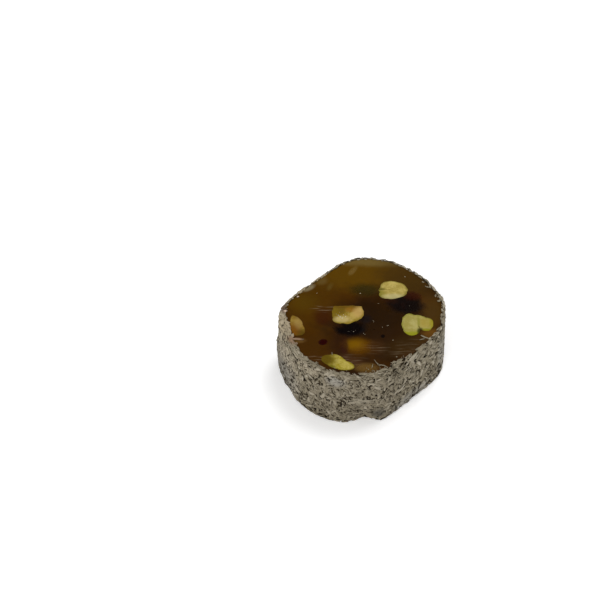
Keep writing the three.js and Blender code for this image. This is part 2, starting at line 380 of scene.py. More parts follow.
# %% [markdown]
# ## The studio
#
# A pale floor and a white sky that is dimmer half-way up, so the moist cut face mirrors little
# of it and keeps its depth. Two large soft lights shine from behind and from the front.

# %% Floor and lights
FLOOR_SIZE, FLOOR_DROP = 6, 0.02 * MM
GLOW, GLOW_MORE = 0.3, 0.5  # the floor's own light near the slice, and what is added far off
GLOW_FROM, GLOW_TO = 80, 900
SKY_DIM = 0.15
# (name, place in metres, size, power)
LIGHTS = (
    ("back_light", (0.35, 0.35, 1.1), 0.6, 7.0),
    ("front_light", (-0.5, -0.8, 0.7), 0.8, 6.0),
)

floor = add(bpy.ops.mesh.primitive_plane_add, size=FLOOR_SIZE, location=(0, 0, -FLOOR_DROP))
floor.name = "floor"
paint = Paint("floor_card", Roughness=0.9, Emission_Color=(1, 1, 1, 1))
far = paint.length(paint.place)
glow = paint.ease(far, GLOW_FROM, GLOW_TO) * GLOW_MORE + GLOW
paint.feed("Emission Strength", glow)
grain = paint.noise(40, 2.0)
pale = paint.mix(srgb(250, 250, 250), srgb(247, 247, 248), grain)
paint.feed("Base Color", pale)
floor.data.materials.append(paint.material)

world = bpy.data.worlds.new("studio")
world.use_nodes = True
links, nodes = world.node_tree.links, world.node_tree.nodes
coordinates = nodes.new("ShaderNodeTexCoord")
apart = nodes.new("ShaderNodeSeparateXYZ")
ramp = nodes.new("ShaderNodeValToRGB")
links.new(coordinates.outputs["Generated"], apart.inputs[0])
links.new(apart.outputs["Z"], ramp.inputs[0])
links.new(ramp.outputs["Color"], nodes["Background"].inputs["Color"])
steps = ramp.color_ramp.elements
steps[0].position, steps[1].position = 0.1, 0.97
steps[0].color = steps[1].color = (1, 1, 1, 1)
for height in (0.35, 0.85):
    steps.new(height).color = (SKY_DIM, SKY_DIM, SKY_DIM, 1)
bpy.context.scene.world = world
bpy.context.scene.view_settings.view_transform = "Standard"

for name, place, size, power in LIGHTS:
    light = add(bpy.ops.object.light_add, type="AREA", location=place)
    light.name = light.data.name = name
    light.data.size, light.data.energy = size, power
    light.rotation_euler = (centre - Vector(place)).to_track_quat("-Z", "Y").to_euler()
print("lights:", [light.name for light in bpy.data.lights])

# %% [markdown]
# ## The pistachios
#
# A pistachio is two halves lying face to face, and where they have grown together there is
# flesh between them. So a few balls are pulled to the sizes of these parts, joined, and
# remeshed into one skin of even little faces. Then comes the knife: every point above the cut
# is pressed down onto it. That keeps small faces on the cut, so its groove and its chips can
# be real shape.
#
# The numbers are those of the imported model: each part's centre, length and width, heading, and
# narrowing. `groove` is its depth, where it is deepest, and how far it runs from there. One
# kernel was broken off straight at the back.

# %% Sizes of the kernels
KERNEL_MIDDLE = 0.25
UPPER_PROUD, LOWER_SHY = 0.12, 0.08

UPPER_KERNELS = {
    "pistachio_back_right": dict(
        depth=6.2, lean=(0.28, -0.42), groove=(0.16, (5.2, 11), 5.2),
        parts=(((8.6, 12), (7.4, 4.5), -8, 0.12), ((8.5, 9.7), (7.8, 4.7), 6, 0.12),
               ((8.5, 10.8), (8.4, 4.2), 0, 0.05)),
    ),
    "pistachio_centre_left": dict(
        depth=7.4, lean=(-0.05, -0.35), groove=(0, (0, 0), 1), broken=4.4,
        parts=(((-5.9, 1.9), (8.6, 5), 90, 0), ((-2.4, 2.4), (8, 5.4), 90, 0),
               ((-4.3, 1.4), (6.6, 7.8), 0, 0), ((-6.4, -0.2), (4.2, 3.4), 60, 0)),
    ),
    "pistachio_right": dict(
        depth=6, lean=(0.1, -0.3), groove=(0.4, (15.7, -5.2), 2.4),
        parts=(((13.3, -2.8), (8.7, 5.3), 99, 0.05), ((17.3, -2.8), (5.2, 4.7), 74, 0),
               ((14.9, -1.8), (6.6, 5.4), -10, 0)),
    ),
    "pistachio_left_edge": dict(
        depth=3.6, lean=(0.15, -0.3), groove=(0, (0, 0), 1),
        parts=(((-18.2, -2.2), (6.4, 3.5), 108, 0.35), ((-17.5, -4.9), (4.8, 3.8), 90, 0),
               ((-17.8, -3.6), (7, 3.7), 100, 0.2)),
    ),
    "pistachio_front": dict(
        depth=4.4, lean=(-0.1, 0.3), groove=(0.15, (-7.6, -15.4), 1.6),
        parts=(((-9, -16.5), (4.6, 3.4), 150, 0), ((-4.9, -18.6), (5.4, 3.6), -14, 0.2),
               ((-7, -17.2), (6.4, 5), -38, 0.1)),
    ),
}
LOWER_KERNELS = {
    "pistachio_under_back": dict(
        depth=5, lean=(0.1, -0.2), groove=(0.25, (-7, 9.5), 5),
        parts=(((-5.8, 11.8), (7.9, 4.5), 24, 0.2), ((-4.6, 9.5), (8.2, 4.6), 32, 0.2)),
    ),
    "pistachio_under_right": dict(
        depth=5.4, lean=(-0.3, 0.1), groove=(0.25, (11, -1), 4),
        parts=(((10.4, 2.4), (7.6, 5), 70, 0.1), ((13.4, 1.2), (6.6, 4.6), 62, 0.2)),
    ),
    "pistachio_under_front": dict(
        depth=4.8, lean=(0.1, 0.35), groove=(0.25, (2, -11), 5),
        parts=(((3.4, -10.6), (8.4, 4.4), -18, 0.25), ((4, -13), (7.4, 4.2), -30, 0.15)),
    ),
    "pistachio_under_left": dict(
        depth=4.2, lean=(0.3, 0.1), groove=(0.25, (-11, -8), 4),
        parts=(((-13.4, -4.8), (7.4, 4.6), 118, 0.2), ((-11.2, -6), (6.4, 4), 112, 0.1)),
    ),
}
print(len(UPPER_KERNELS), "kernels show on the upper cut face,", len(LOWER_KERNELS), "on the lower")

# %% [markdown]
# The two directions of one formula: `part_shape` takes the points of a ball to a part of a
# kernel, and `part_share` says how far out in that part a point on the cut lies, from 0 in its
# middle to 1 on its skin. The second one finds the groove, where a point is as far out in one
# half as in the other.

# %% From a ball to part of a kernel
UNBROKEN = 99  # far behind every kernel


def part_reach(kernel):
    """How deep the widest place lies, how far the part goes below it, and how much wider it is."""
    middle = KERNEL_MIDDLE * kernel["depth"]
    reach = kernel["depth"] - middle
    return middle, reach, 1 / math.sqrt(1 - (middle / reach) ** 2)


def part_shape(ball, kernel, part):
    (x, y), (length, width), heading, narrows = part
    middle, reach, widening = part_reach(kernel)
    along = ball[:, 0] * length / 2 * widening
    across = ball[:, 1] * width / 2 * widening * (1 - narrows * ball[:, 0])
    below = middle - ball[:, 2] * reach
    east, north = swung(along, across, heading)
    north = np.minimum(y + north, kernel.get("broken", UNBROKEN))
    lean_x, lean_y = kernel["lean"]
    leaning = np.maximum(below, 0)
    return np.stack([x + east + lean_x * leaning, north + lean_y * leaning, -below], 1)


def part_share(points, kernel, part):
    (x, y), (length, width), heading, narrows = part
    middle, reach, widening = part_reach(kernel)
    along, across = swung(points[:, 0] - x, points[:, 1] - y, -heading)
    along = along / (length / 2 * widening)
    across = across / (width / 2 * widening) / (1 - narrows * np.clip(along, -1, 1))
    return np.sqrt(along**2 + across**2 + (middle / reach) ** 2)


middle, reach, _ = part_reach(UPPER_KERNELS["pistachio_right"])
print("the right kernel is widest", middle, "mm down, and goes", reach, "mm deeper")

# %% [markdown]
# Now the kernel itself. Waves along its normals take away the look of a turned egg, and the
# knife's press is a soft minimum, so the edge of the cut is slightly rounded. Three numbers
# stay on its points for the paint: `flesh` is 1 on the cut, `rim` grows to 1 at its edge, and
# `groove` is 1 where the groove is deepest.

# %% Shape a kernel
VOXEL = 0.16
CUT_ROUNDING = 0.07
GROOVE_WIDTH = 0.035
FLESH_FADE = (-0.16, -0.02)  # heights above the cut between which skin turns into flesh


def joined_parts(kernel):
    balls = []
    for part in kernel["parts"]:
        ball = add(bpy.ops.mesh.primitive_uv_sphere_add, segments=48, ring_count=28, radius=1)
        put_points(ball, part_shape(points_of(ball), kernel, part))
        balls.append(ball)
    pick(*balls)
    bpy.ops.object.join()
    apply_modifier(balls[0], "REMESH", mode="VOXEL", voxel_size=VOXEL)
    apply_modifier(balls[0], "SMOOTH", factor=0.5, iterations=6)
    return balls[0]


def cut_kernel(kernel, proud, seed):
    piece = joined_parts(kernel)
    points, normals = points_of(piece), points_of(piece, "normal")
    points += normals * lumpy(points, seed, (0.14, 2.6), (0.06, 0.9))[:, None]

    on_cut = points * (1, 1, 0)
    shares = [part_share(on_cut, kernel, part) for part in kernel["parts"]]
    deep, (x, y), runs = kernel["groove"]
    fading = np.exp(-((np.hypot(points[:, 0] - x, points[:, 1] - y) / runs) ** 4))
    wander = 0.03 * waves(on_cut, 0.8, seed + 3)
    groove = fading * np.exp(-(((shares[0] - shares[1] + wander) / GROOVE_WIDTH) ** 2))
    cut = proud - deep * groove + 0.03 * waves(on_cut, 1.1, seed + 2)

    above = points[:, 2] - cut
    soft = CUT_ROUNDING * np.log1p(np.exp(np.clip(-above / CUT_ROUNDING, -60, 60)))
    points[:, 2] = cut - soft
    put_points(piece, points)
    keep_on_points(piece, "flesh", smooth_step(above, *FLESH_FADE))
    keep_on_points(piece, "rim", np.minimum.reduce(shares))
    keep_on_points(piece, "groove", groove * (deep > 0))
    return piece


print("a kernel's skin has points about", VOXEL, "mm apart")

# %% [markdown]
# ## What a cut pistachio looks like
#
# The flesh is pale yellow-green, greener just under the skin, with faint mottling. The skin is
# a dark purple-brown with reddish places, and it shows as a thin line round the cut and down
# the sides, through the jelly. Each kernel has soft tints of its own.

# %% Paint for the kernels
TINT_DEPTH = 3
GREEN_EDGE = (112, 110, 16)


def kernel_paint(name, pale, deep, edge, tints=()):
    pale, deep, edge = srgb(*pale), srgb(*deep), srgb(*edge)
    scatter = dict(Subsurface_Weight=0.08, Subsurface_Scale=0.001, Subsurface_Radius=(1, 0.9, 0.4))
    paint = Paint(name, Roughness=0.6, Specular_IOR_Level=0.08, **scatter)
    mottle = paint.noise(2.2, 4.0) * 0.7 + paint.noise(0.5) * 0.3
    flesh = paint.mix(pale, deep, paint.ease(mottle, 0.38, 0.62))
    rim = paint.ease(paint.stored("rim") + (paint.noise(0.9, 2.0) - 0.5) * 0.15, 0.78, 1.0)
    flesh = paint.mix(flesh, edge, rim * 0.75)
    # along the groove, the seam between the halves, the flesh takes the dark edge colour as painted
    # shade
    flesh = paint.mix(flesh, edge, paint.ease(paint.stored("groove"), 0.1, 0.8))
    for place, radii, colour, strength in tints:
        here = paint.spot((*place, SLICE_HEIGHT), (*radii, TINT_DEPTH), ragged=0.4)
        flesh = paint.mix(flesh, srgb(*colour), here * strength)

    skin = paint.mottled(srgb(26, 14, 16), srgb(84, 36, 16), 1.7, 0.5, 0.75)
    paint.feed("Base Color", paint.mix(skin, flesh, paint.stored("flesh")))
    paint.bump(paint.noise(0.3) * 0.5 + paint.noise(1.1), 0.7, 0.2)
    return paint.material


# name: (pale flesh, deeper flesh, edge, ((x, y), (radii), colour, strength) ...)
KERNEL_TINTS = {
    "pistachio_back_right": (
        (190, 170, 94), (162, 142, 68), (112, 100, 26),
        (((4.9, 9.2), (1.6, 1.6), GREEN_EDGE, 0.5), ((8.6, 8), (3, 1.2), (186, 178, 128), 0.6),
         # the last tint is painted shade: dark olive where the groove is deepest, at its notch
         ((5.3, 11.2), (1.2, 0.5), (92, 84, 12), 0.7)),
    ),
    "pistachio_centre_left": (
        (176, 152, 76), (140, 116, 34), (128, 108, 20),
        (((-6.6, 3.2), (2.6, 2.2), (100, 76, 0), 0.9), ((-7.6, 1), (0.9, 3), (112, 90, 0), 0.8),
         ((-3.8, 4.1), (3.6, 0.8), (100, 72, 0), 0.9), ((-3.2, 2.9), (1.5, 1), (134, 92, 14), 0.8),
         ((-5.6, -0.8), (2.2, 1.2), (188, 170, 112), 0.7),
         ((-1.1, 2), (1.4, 2), (182, 148, 86), 0.7)),
    ),
    "pistachio_right": (
        (174, 163, 98), (154, 142, 70), (118, 116, 18),
        (((17, -2.4), (1.8, 1.8), (162, 142, 58), 0.7),
         ((13.4, -6.6), (3, 1.1), (140, 140, 16), 0.9),
         ((17.4, -5.3), (2, 0.9), (132, 128, 14), 0.9),
         # painted shade: dark olive in the notch where the groove between the lobes is deepest
         ((15.7, -5.5), (0.8, 1.3), (58, 54, 4), 0.95),
         ((15.4, -2), (0.35, 2), (130, 128, 40), 0.6),
         ((19.3, -2.6), (1, 2.2), (146, 134, 20), 0.8)),
    ),
    "pistachio_left_edge": (
        (148, 120, 50), (124, 96, 26), (94, 62, 0),
        (((-17.4, -7), (3.4, 2.2), (86, 64, 0), 1), ((-19.2, -5), (2, 2.4), (112, 68, 0), 0.9),
         ((-17.4, -2.2), (1.2, 2.4), (158, 130, 74), 0.4)),
    ),
    "pistachio_front": (
        (180, 164, 80), (142, 126, 14), (118, 104, 4),
        (((-10.4, -16.2), (3, 2.8), (92, 74, 0), 1), ((-8.2, -19.2), (1, 0.8), (96, 90, 0), 0.8)),
    ),
}
UNDER_PAINT = kernel_paint("pistachio_under", (182, 164, 90), (160, 140, 68), GREEN_EDGE)
print(len(bpy.data.materials), "materials so far")

# %% Cut every kernel
for seed, (name, kernel) in enumerate(UPPER_KERNELS.items(), 10):
    piece = cut_kernel(kernel, UPPER_PROUD, 10 * seed)
    put_points(piece, points_of(piece) + (0, 0, SLICE_HEIGHT))
    finish_piece(piece, "cut_" + name, kernel_paint(name, *KERNEL_TINTS[name]), [name])

for seed, (name, kernel) in enumerate(LOWER_KERNELS.items(), 20):
    piece = cut_kernel(kernel, -LOWER_SHY, 10 * seed)
    put_points(piece, points_of(piece) * (1, 1, -1))
    piece.data.flip_normals()
    finish_piece(piece, "cut_" + name, UNDER_PAINT, [name])

# %% [markdown]
# ## The jelly
#
# A cylinder whose two ends are inset ring by ring, so the cut faces have points all over them.
# Every ring then takes the outline's shape. The cut isn't a flat plane: the knife left broad
# dents in it. The lower face is slightly hollow and lies on the table with its edge, so the
# kernels in it stand out of the jelly there too.

# %% Shape the jelly
JELLY_AROUND, JELLY_RINGS, JELLY_LAYERS = 192, 22, 7
HOLLOW = 0.16

size = dict(radius=ROLL_RADIUS, depth=SLICE_HEIGHT, location=(0, 0, SLICE_HEIGHT / 2))
jelly = add(bpy.ops.mesh.primitive_cylinder_add, vertices=JELLY_AROUND, **size)
bpy.ops.object.transform_apply(location=True)
select_edges(jelly, lambda first, second: abs(first.z - second.z) > 1)
bpy.ops.mesh.subdivide(number_cuts=JELLY_LAYERS)
bpy.ops.mesh.select_all(action="DESELECT")
go_to("OBJECT")
for face in jelly.data.polygons:
    face.select = len(face.vertices) == JELLY_AROUND
go_to("EDIT")
bpy.context.tool_settings.mesh_select_mode = (False, False, True)
for _ in range(JELLY_RINGS):
    bpy.ops.mesh.inset(thickness=ROLL_RADIUS / (JELLY_RINGS + 1), use_even_offset=False)
bpy.ops.mesh.poke()
go_to("OBJECT")
apply_modifier(jelly, "SUBSURF", subdivision_type="SIMPLE", levels=1)

points = points_of(jelly)
angle, radius = polar(points)
outline = wall_radius(angle, points[:, 2]) - coat_thickness(angle)
points[:, :2] *= (outline / ROLL_RADIUS)[:, None]
dents = lumpy(points, 41, (0.05, 6.0), (0.02, 1.6))
inside = smooth_step(ROLL_RADIUS - radius, 0.2, 2.0)
on_top = points[:, 2] > SLICE_HEIGHT - 0.01
on_foot = points[:, 2] < 0.01
points[:, 2] += np.where(on_top, dents * inside, 0)
points[:, 2] += np.where(on_foot, (HOLLOW + 0.5 * np.abs(dents)) * inside, 0)
put_points(jelly, points)
print(len(points), "points in the jelly")

# %% [markdown]
# ## What the jelly looks like
#
# The jelly is see-through, but most of its look is painted: the light amber along the back and
# the left is painted light, where light comes in through the side, and the dark brown in the
# middle is painted shade, where it is deep and little light gets in. A pale band along the back
# rim is a painted reflection of the bright sky, on jelly that is milkier there. The dark bodies
# of the cut nuts, a sunk nut and other bits show through it as soft spots. Each spot below has
# a place and size in mm, a heading, a colour, its strength, and how far it opens the jelly's
# surface to the real bit under it. Pale smears lie where the knife dragged.

# %% Paint for the jelly
# (x, y), (radii), heading, softness, colour, strength, opening
JELLY_SPOTS = (
    # painted light: amber where light comes in through the side at the back
    ((-2, 19), (20, 8), 0, 0.5, (92, 63, 3), 0.9, 0),
    # painted reflection of the bright sky along the back rim, on jelly that is milkier there
    ((1, 22.3), (17, 1.5), -4, 0.7, (112, 92, 46), 0.85, 0),
    # this row and the next are painted light: amber where light comes in through the left side
    ((-15, 6), (8, 10), 20, 0.6, (80, 50, 1), 0.8, 0),
    ((-16.5, 6), (3.6, 3.4), 0, 0.8, (90, 68, 6), 0.4, 0),
    ((12, 15), (8, 6), -40, 0.6, (66, 45, 10), 0.85, 0),
    ((19.5, 2), (3, 6), 0, 0.6, (74, 51, 14), 0.8, 0),
    # painted shade: darkest in the middle, where the jelly is deep and little light gets in
    ((3.5, -2), (10, 9), 0, 0.6, (33, 17, 1), 0.9, 0),
    ((7, -9), (6, 5), 0, 0.6, (42, 22, 2), 0.8, 0),
    ((-5.8, -9.5), (3, 4.4), 0, 0.7, (44, 22, 5), 0.85, 0),
    ((-14, -11), (5, 5), 20, 0.6, (66, 38, 0), 0.9, 0),
    ((-17.6, -9), (2, 1), 0, 0.5, (104, 76, 36), 0.7, 0),
    ((0.9, 11), (4, 2.2), 0, 0.6, (46, 40, 8), 0.7, 0.1),
    ((11.8, 5.2), (5, 3.4), -20, 0.35, (20, 12, 10), 0.95, 0.3),
    ((13.6, 8.4), (2.6, 1.6), -10, 0.4, (54, 18, 6), 0.8, 0.1),
    ((7.4, 7), (2.2, 1.2), -20, 0.5, (50, 24, 6), 0.6, 0),
    ((-3.4, -4.4), (4.2, 2.8), 0, 0.3, (8, 3, 3), 1, 0.15),
    ((0.9, -0.8), (1.6, 1.6), 0, 0.5, (20, 12, 12), 0.8, 0.1),
    ((-8.6, -2.4), (3.2, 1.3), -15, 0.5, (44, 22, 4), 0.7, 0),
    ((-10.8, 0.2), (2.4, 3), 0, 0.6, (58, 24, 2), 0.8, 0),
    ((-1, -11.2), (3.6, 2.8), 0, 0.6, (96, 59, 0), 0.9, 0.12),
    ((-2.2, -10.4), (2.4, 1.7), 0, 0.8, (134, 97, 0), 0.6, 0),
    ((-4.9, -11.4), (1.1, 2.8), 0, 0.5, (46, 16, 10), 0.7, 0),
    ((3.8, -11.6), (2, 2.6), 0, 0.6, (64, 36, 6), 0.6, 0),
    ((-10.7, -9.6), (1.2, 1.1), 30, 0.3, (38, 0, 0), 1, 0.05),
    ((-3.2, -16.6), (3.4, 1.6), -20, 0.6, (74, 46, 22), 0.7, 0),
    ((1, -19.4), (3, 1.6), 0, 0.5, (108, 80, 34), 0.9, 0.2),
    ((18.6, -6.6), (2.2, 2), 0, 0.5, (116, 76, 22), 0.8, 0),
    ((13, -10.5), (7, 3.6), 25, 0.6, (58, 40, 12), 0.6, 0),
    ((-2.7, 18.7), (0.8, 1.9), -30, 0.4, (124, 98, 44), 0.6, 0.2),
    ((-11.4, 14.6), (1.4, 1.6), -40, 0.6, (104, 82, 38), 0.7, 0.1),
    ((-15, 11.8), (1.8, 1), 38, 0.5, (134, 122, 92), 0.8, 0),
    ((-9, 12.2), (0.7, 1.4), -20, 0.6, (96, 74, 26), 0.6, 0.1),
    ((5.6, -7.3), (0.55, 0.7), 0, 0.3, (12, 2, 0), 1, 0),
    ((3.2, -4.8), (0.3, 0.25), 0, 0.4, (26, 10, 0), 0.8, 0),
)
# (x, y), (radii), heading, strength
SMEARS = (
    ((-10.7, 3.4), (3, 1.2), 2, 0.4),
    ((7.6, -12.2), (6.4, 2.2), 0, 0.18),
    ((-2.4, -16.4), (3, 1.8), -8, 0.25),
    ((-12.4, -15.6), (2.6, 0.8), 0, 0.35),
    ((14, -9.6), (3, 1.2), 12, 0.12),
)
SPOT_DEPTH, SMEAR_DEPTH = 7, 1
SURFACE_OPENING = 0.04  # how see-through the jelly's surface is elsewhere

paint = Paint("jelly", Roughness=0.3, Specular_IOR_Level=0.05)
colour = paint.mottled(srgb(42, 22, 2), srgb(70, 39, 0), 9, 0.3, 0.75)
opening = SURFACE_OPENING
for place, radii, heading, softness, tint, strength, opens in JELLY_SPOTS:
    here = paint.spot((*place, SLICE_HEIGHT), (*radii, SPOT_DEPTH), heading, softness, 0.5)
    colour = paint.mix(colour, srgb(*tint), here * strength)
    if opens:
        opening = here * opens + opening

smear = 0
for place, radii, heading, strength in SMEARS:
    here = paint.spot((*place, SLICE_HEIGHT), (*radii, SMEAR_DEPTH), heading, 0.6, 0.4)
    smear = here * strength + smear
lines = paint.noise(0.5, stretch=(0.09, 1, 1))
smear = smear * paint.ease(lines, 0.5, 0.68)
colour = paint.mix(colour, srgb(168, 150, 122), smear)
paint.feed("Base Color", colour)
paint.feed("Alpha", 1 - opening)
ripples = paint.noise(0.5) * 0.15 + paint.noise(3.0) * 0.8
paint.bump(ripples + smear, 0.5, 0.12)
finish_piece(jelly, "cut_jelly", paint.material, ["jelly"])

# %% [markdown]
# ## What is sunk in the jelly
#
# A whole nut lies just under the cut in front of the middle, a piece of another one near the
# front rim, a dark red scrap on the left, and a dark green one behind the middle. They lie
# where the eye finds them from above at a slant: as deep as they are, they are moved back by
# as much.

# %% Sunk bits
SUNK_BITS = {
    # name: (apparent x, y), depth of the middle, (radii), heading, colours
    "sunk_nut": ((-1, -11), 2.6, (3.9, 2.9, 2.1), 5, ((176, 116, 14), (140, 84, 8))),
    "sunk_chip": ((1, -19.4), 1.5, (2.2, 1.3, 1), 0, ((170, 130, 70), (130, 92, 40))),
    "sunk_skin": ((-10.6, -9.6), 0.9, (1, 0.8, 0.6), 40, ((50, 6, 4), (30, 6, 4))),
    "sunk_leaf": ((0.9, 11), 1.6, (2.6, 1.3, 0.8), 8, ((40, 52, 14), (30, 38, 12))),
}
for seed, (name, facts) in enumerate(SUNK_BITS.items(), 60):
    (x, y), depth, radii, heading, colours = facts
    bit = add(bpy.ops.mesh.primitive_ico_sphere_add, subdivisions=5, radius=1)
    lumps = 1 + 0.09 * waves(points_of(bit), 0.9, seed) + 0.04 * waves(points_of(bit), 0.4, seed)
    points = points_of(bit) * lumps[:, None] * radii
    points[:, 0], points[:, 1] = swung(points[:, 0], points[:, 1], heading)
    put_points(bit, points + (x, y + depth, SLICE_HEIGHT - depth))
    paint = Paint(name, Roughness=0.5)
    pale, dark = [srgb(*colour) for colour in colours]
    paint.feed("Base Color", paint.mottled(pale, dark, 1.5, 0.35, 0.65))
    finish_piece(bit, name, paint.material, [])

# %% [markdown]
# Small crumbs and pale dots lie on the cut face, a third of them on the kernel whose cut is
# roughest. The dots on the jelly are painted glints of its bubbles.

# %% Crumbs and painted glints on the cut face
# (x, y), size in mm
# on the jelly these are painted glints of bubbles; near the roughest kernel they are crumbs
CRUMBS_AND_GLINTS = (
    ((-0.6, 9.5), 0.24), ((3.1, -1.9), 0.16), ((3, -1.3), 0.14), ((5.5, -3.9), 0.18),
    ((6.8, -3.3), 0.18), ((7.1, -3.2), 0.14), ((0.3, -6.3), 0.15), ((0.7, -6.6), 0.12),
    ((8.3, -8.9), 0.16), ((11.9, 16.2), 0.24), ((20.3, 8.2), 0.24), ((12.9, 4.5), 0.2),
    # painted glints of bubbles over the dark sunk skin in front of the middle
    ((-3, -5.2), 0.12), ((-2.4, -5.6), 0.15), ((-3.9, -5.4), 0.1), ((-1.9, -5), 0.1),
    ((15.6, 8.4), 0.14), ((4.4, 5.4), 0.14), ((-12.6, 9.6), 0.2), ((-6.6, 0.7), 0.3),
    ((-6.1, 0.1), 0.36), ((-5.5, -0.4), 0.3), ((-6.9, -0.4), 0.24), ((-5.2, 0.9), 0.2),
    ((-4.6, 0.2), 0.24), ((-7.2, 1.2), 0.2), ((-6.2, 1.9), 0.16), ((-3.9, 1.8), 0.14),
)
ROUGH_NUT, ROUGH_REACH = (-5.4, 0.5), 3
ON_JELLY = 0.03

crumbs_and_glints = []
draw = np.random.default_rng(64)
for (x, y), size in CRUMBS_AND_GLINTS:
    on_nut = math.dist((x, y), ROUGH_NUT) < ROUGH_REACH
    high = SLICE_HEIGHT + (UPPER_PROUD if on_nut else ON_JELLY)
    dot = add(bpy.ops.mesh.primitive_ico_sphere_add, subdivisions=2, radius=size / 2)
    dot.location = (x, y, high)
    dot.scale = draw.uniform((0.8, 0.6, 0.4), (1.7, 1.2, 0.9))
    dot.rotation_euler = (0, 0, draw.uniform(0, math.pi))
    crumbs_and_glints.append(dot)
pick(dot, *crumbs_and_glints)
bpy.ops.object.join()
bpy.ops.object.transform_apply()
crumbs_and_glints = bpy.context.active_object
points = points_of(crumbs_and_glints)
outward = points_of(crumbs_and_glints, "normal")
put_points(crumbs_and_glints, points + outward * lumpy(points, 65, (0.02, 0.1))[:, None])
# one pale paint for the crumbs and for the painted glints of bubbles
paint = Paint("nut_crumbs_and_glints", Roughness=0.5)
pale = paint.ease(paint.noise(2.0, 2.0), 0.3, 0.7)
paint.feed("Base Color", paint.mix(srgb(150, 136, 110), srgb(204, 194, 168), pale))
finish_piece(crumbs_and_glints, "nut_crumbs_and_glints", paint.material, [])

# %% [markdown]
# ## The coconut coat
#
# Under the shreds lies a bed of coconut crumbs stuck fast in dried syrup. Its dark brown is
# partly the syrup and partly painted shade in the gaps between the shreds. `bed_surface` says
# where its outer face is: up the side, over the edge, which is rounded in front and squarer at
# the back, and in across the rim. The bed is a ring pressed into that section, and the shreds
# are laid on the same face afterwards.

# %% Shape the bed
BED_INSET, BED_FOOT, BED_TOP = 0.3, 0.05, SLICE_HEIGHT - 0.05
BED_SIDE = BED_TOP - COAT_EDGE
BED_BEND = COAT_EDGE * math.pi / 2
BED_IN_JELLY = 0.3
OUTER_SHARE = 0.75  # of the ring's section is its outer face
SECTION_START = 150  # degrees round the section to where the foot is
BACK_SQUARENESS = 0.5


def bed_surface(angle, climb):
    """Points `climb` mm up from the foot along the bed's outer face, all round the roll."""
    turn = np.clip((climb - BED_SIDE) / BED_BEND, 0, 1) * math.pi / 2
    squareness = 1 - BACK_SQUARENESS * smooth_step(np.sin(np.radians(angle)), -0.1, 0.3)
    inset = BED_INSET + COAT_EDGE * (1 - np.cos(turn) ** squareness)
    inset = inset + np.maximum(climb - BED_SIDE - BED_BEND, 0)
    z = np.minimum(climb, BED_SIDE) + COAT_EDGE * np.sin(turn) ** squareness
    return from_polar(angle, wall_radius(angle, z) - inset, z)


def bed_reach(angle):
    """How far the climb goes before it meets the jelly."""
    across = coat_thickness(angle) - BED_INSET - COAT_EDGE
    return BED_SIDE + BED_BEND + np.maximum(across, -0.5)


ring = dict(major_segments=320, minor_segments=48, major_radius=ROLL_RADIUS, minor_radius=5)
bed = add(bpy.ops.mesh.primitive_torus_add, **ring)
points = points_of(bed)
angle, radius = polar(points)
round_section = np.degrees(np.arctan2(points[:, 2], radius - ROLL_RADIUS))
share = (round_section + SECTION_START) % 360 / 360
outer = share < OUTER_SHARE
climb = BED_FOOT + np.minimum(share / OUTER_SHARE, 1) * (bed_reach(angle) - BED_FOOT)
points = bed_surface(angle, climb)
lumps = lumpy(points, 51, (0.1, 0.8), (0.12, 2.5))
down = np.clip((share - OUTER_SHARE) / (1 - OUTER_SHARE), 0, 1)
height = np.maximum(points[:, 2] * (1 - down) + BED_FOOT * down, BED_FOOT)
_, outside = polar(points)
inside = wall_radius(angle, height) - coat_thickness(angle) - BED_IN_JELLY
put_points(bed, from_polar(angle, np.where(outer, outside + lumps, inside), height))

paint = Paint("coconut_bed", Roughness=0.8, Specular_IOR_Level=0.1)
# dark brown with darker patches: partly the syrup, partly painted shade in the gaps between shreds
syrup_and_gap_shade = paint.mottled(srgb(24, 18, 9), srgb(74, 64, 45), 0.6, 0.4, 0.7)
paint.feed("Base Color", paint.mottled(syrup_and_gap_shade, srgb(128, 119, 98), 2.6, 0.5, 0.62))
paint.bump(paint.noise(0.4), 0.8, 0.15)
finish_piece(bed, "coconut_bed", paint.material, ["coconut_coat"])

# %% [markdown]
# ## The shreds
#
# A shred is a thin strip of coconut flesh, narrower at its ends, bent, bowed and ragged, with
# sloping sides. A few are modelled from a cube, and thousands of copies of their points are
# laid on the bed at once. The golden angle spreads them evenly round the roll, and each lies
# nearly flat in a direction of its own. `tone` keeps how pale each point is: a shred's lower
# edge is darker, partly because it is soaked with syrup and partly as painted shade where it
# faces the bed.

# %% Model the shreds
SHRED_KINDS = 9
RAGGED = 0.06
TOP_SHARE = 0.8
# how much darker a shred's lower side is: partly soaked with syrup, partly painted shade facing the
# bed
SOAKED_AND_SHADED = 0.5


def model_shred(seed):
    """One shred, 1 long, 1 wide and 1 deep: its points, which are low ones, and its faces."""
    shred = add(bpy.ops.mesh.primitive_cube_add, size=1)
    select_edges(shred, lambda first, second: abs(first.x - second.x) > 0.5)
    bpy.ops.mesh.subdivide(number_cuts=2)
    go_to("OBJECT")
    draw = np.random.default_rng(seed)
    bend, bow, twist = draw.uniform(-0.9, 0.9), draw.uniform(0.2, 1.3), draw.uniform(-0.5, 0.5)
    points = points_of(shred)
    x, y, z = points.T
    narrow = 1 - draw.uniform(0.9, 2.2) * x**2
    points[:, 1] = y * narrow * np.where(z > 0, TOP_SHARE, 1) + bend * (x**2 - 0.1)
    points[:, 2] = z * (1 - 1.2 * x**2) - bow * (x**2 - 0.1) + twist * x * y
    points += draw.normal(0, RAGGED, points.shape) * (0.6, 1.6, 1)
    faces = [list(face.vertices) for face in shred.data.polygons]
    bpy.data.objects.remove(shred)
    return points, z < 0, faces


shred_kinds = [model_shred(seed) for seed in range(70, 70 + SHRED_KINDS)]
print("a shred has", 2 * len(shred_kinds[0][2]), "triangles")

